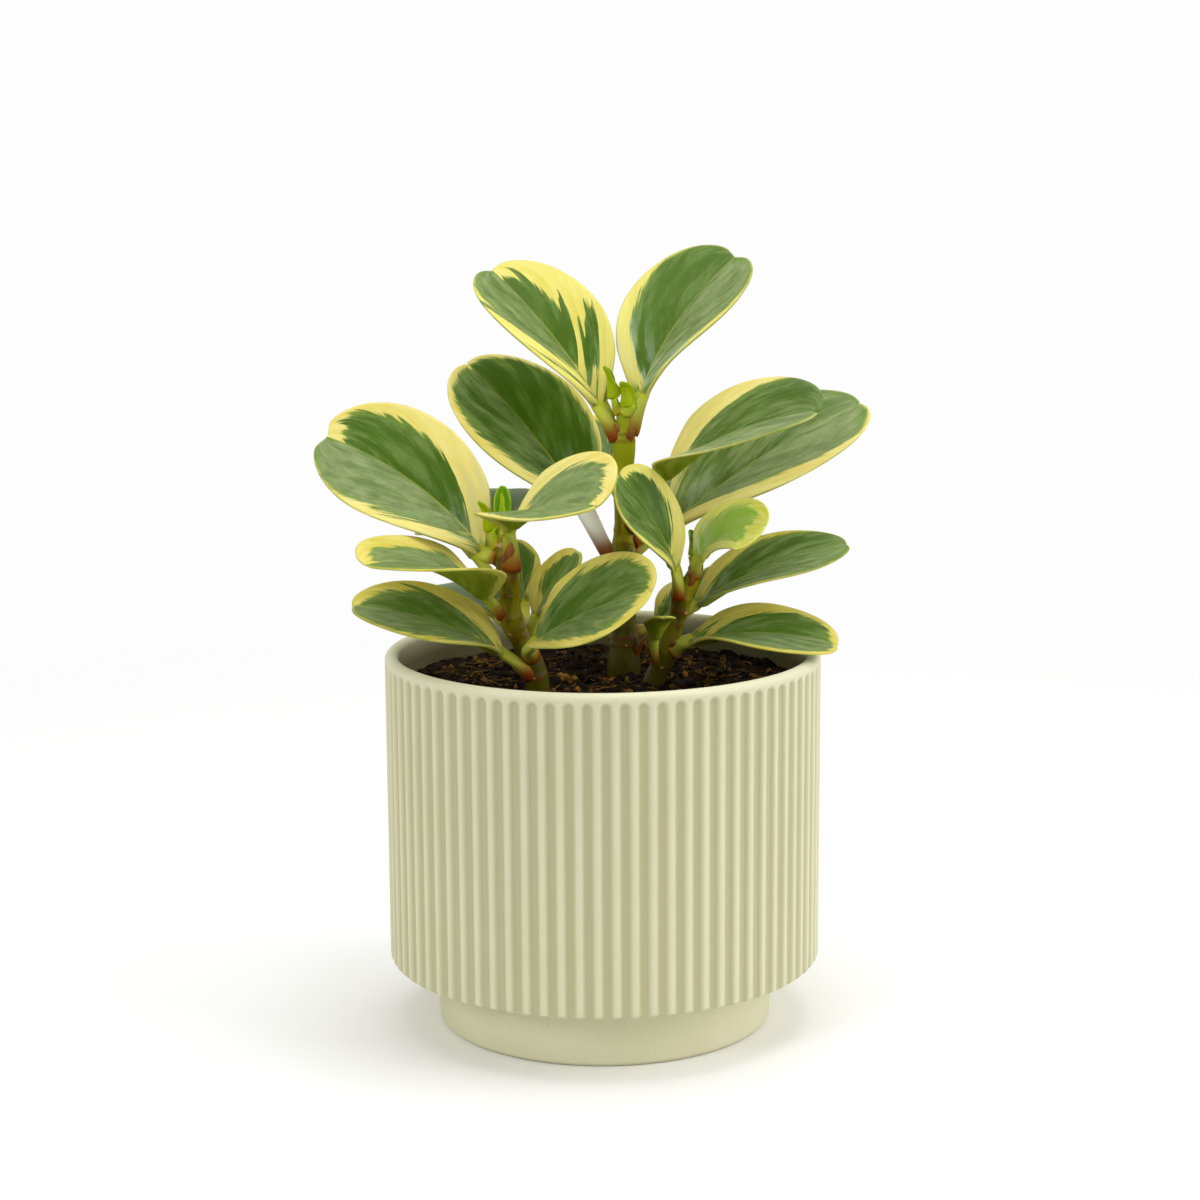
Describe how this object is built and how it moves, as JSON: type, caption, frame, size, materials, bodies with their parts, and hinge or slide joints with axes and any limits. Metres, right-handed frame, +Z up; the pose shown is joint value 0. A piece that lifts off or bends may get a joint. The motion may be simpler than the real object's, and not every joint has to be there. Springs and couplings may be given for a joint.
{
  "type": "potted variegated baby rubber plant",
  "caption": "Small bushy house plant with thick spoon-shaped variegated leaves on fleshy stems, in a fluted ceramic pot with a recessed foot.",
  "frame": {"origin": "centre of the pot's foot, on the surface that it stands on", "axes": "+Z up along the pot's axis, -Y towards the plant's front, +X to the right seen from the front"},
  "size_m": [0.1724, 0.1392, 0.2381],
  "materials": {
    "pot": "matte",
    "soil": "matte",
    "stem": "satin",
    "leaf": "satin"
  },
  "bodies": {
    "root": {"leaf_back_left_low": "leaf", "leaf_back_right_low": "leaf", "leaf_back_right_mid": "leaf", "leaf_back_upper": "leaf", "leaf_centre_small": "leaf", "leaf_front_centre": "leaf", "leaf_front_cup": "leaf", "leaf_left_back_low": "leaf", "leaf_left_back_mid": "leaf", "leaf_left_back_top": "leaf", "leaf_left_low": "leaf", "leaf_left_mid": "leaf", "leaf_left_top": "leaf", "leaf_right_back": "leaf", "leaf_right_low": "leaf", "leaf_right_mid": "leaf", "leaf_right_small": "leaf", "leaf_right_top_left": "leaf", "leaf_small_behind": "leaf", "leaf_small_front": "leaf", "leaf_top_left": "leaf", "leaf_top_right": "leaf", "leaf_upper_left": "leaf", "leaf_upper_right_back": "leaf", "leaf_upper_right_front": "leaf", "leaf_young_centre_a": "leaf", "leaf_young_centre_b": "leaf", "leaf_young_left_a": "leaf", "leaf_young_left_b": "leaf", "leaf_young_right": "leaf", "pot": "pot", "soil": "soil", "stem_centre": "stem", "stem_left": "stem", "stem_right": "stem"}
  },
  "joints": []
}
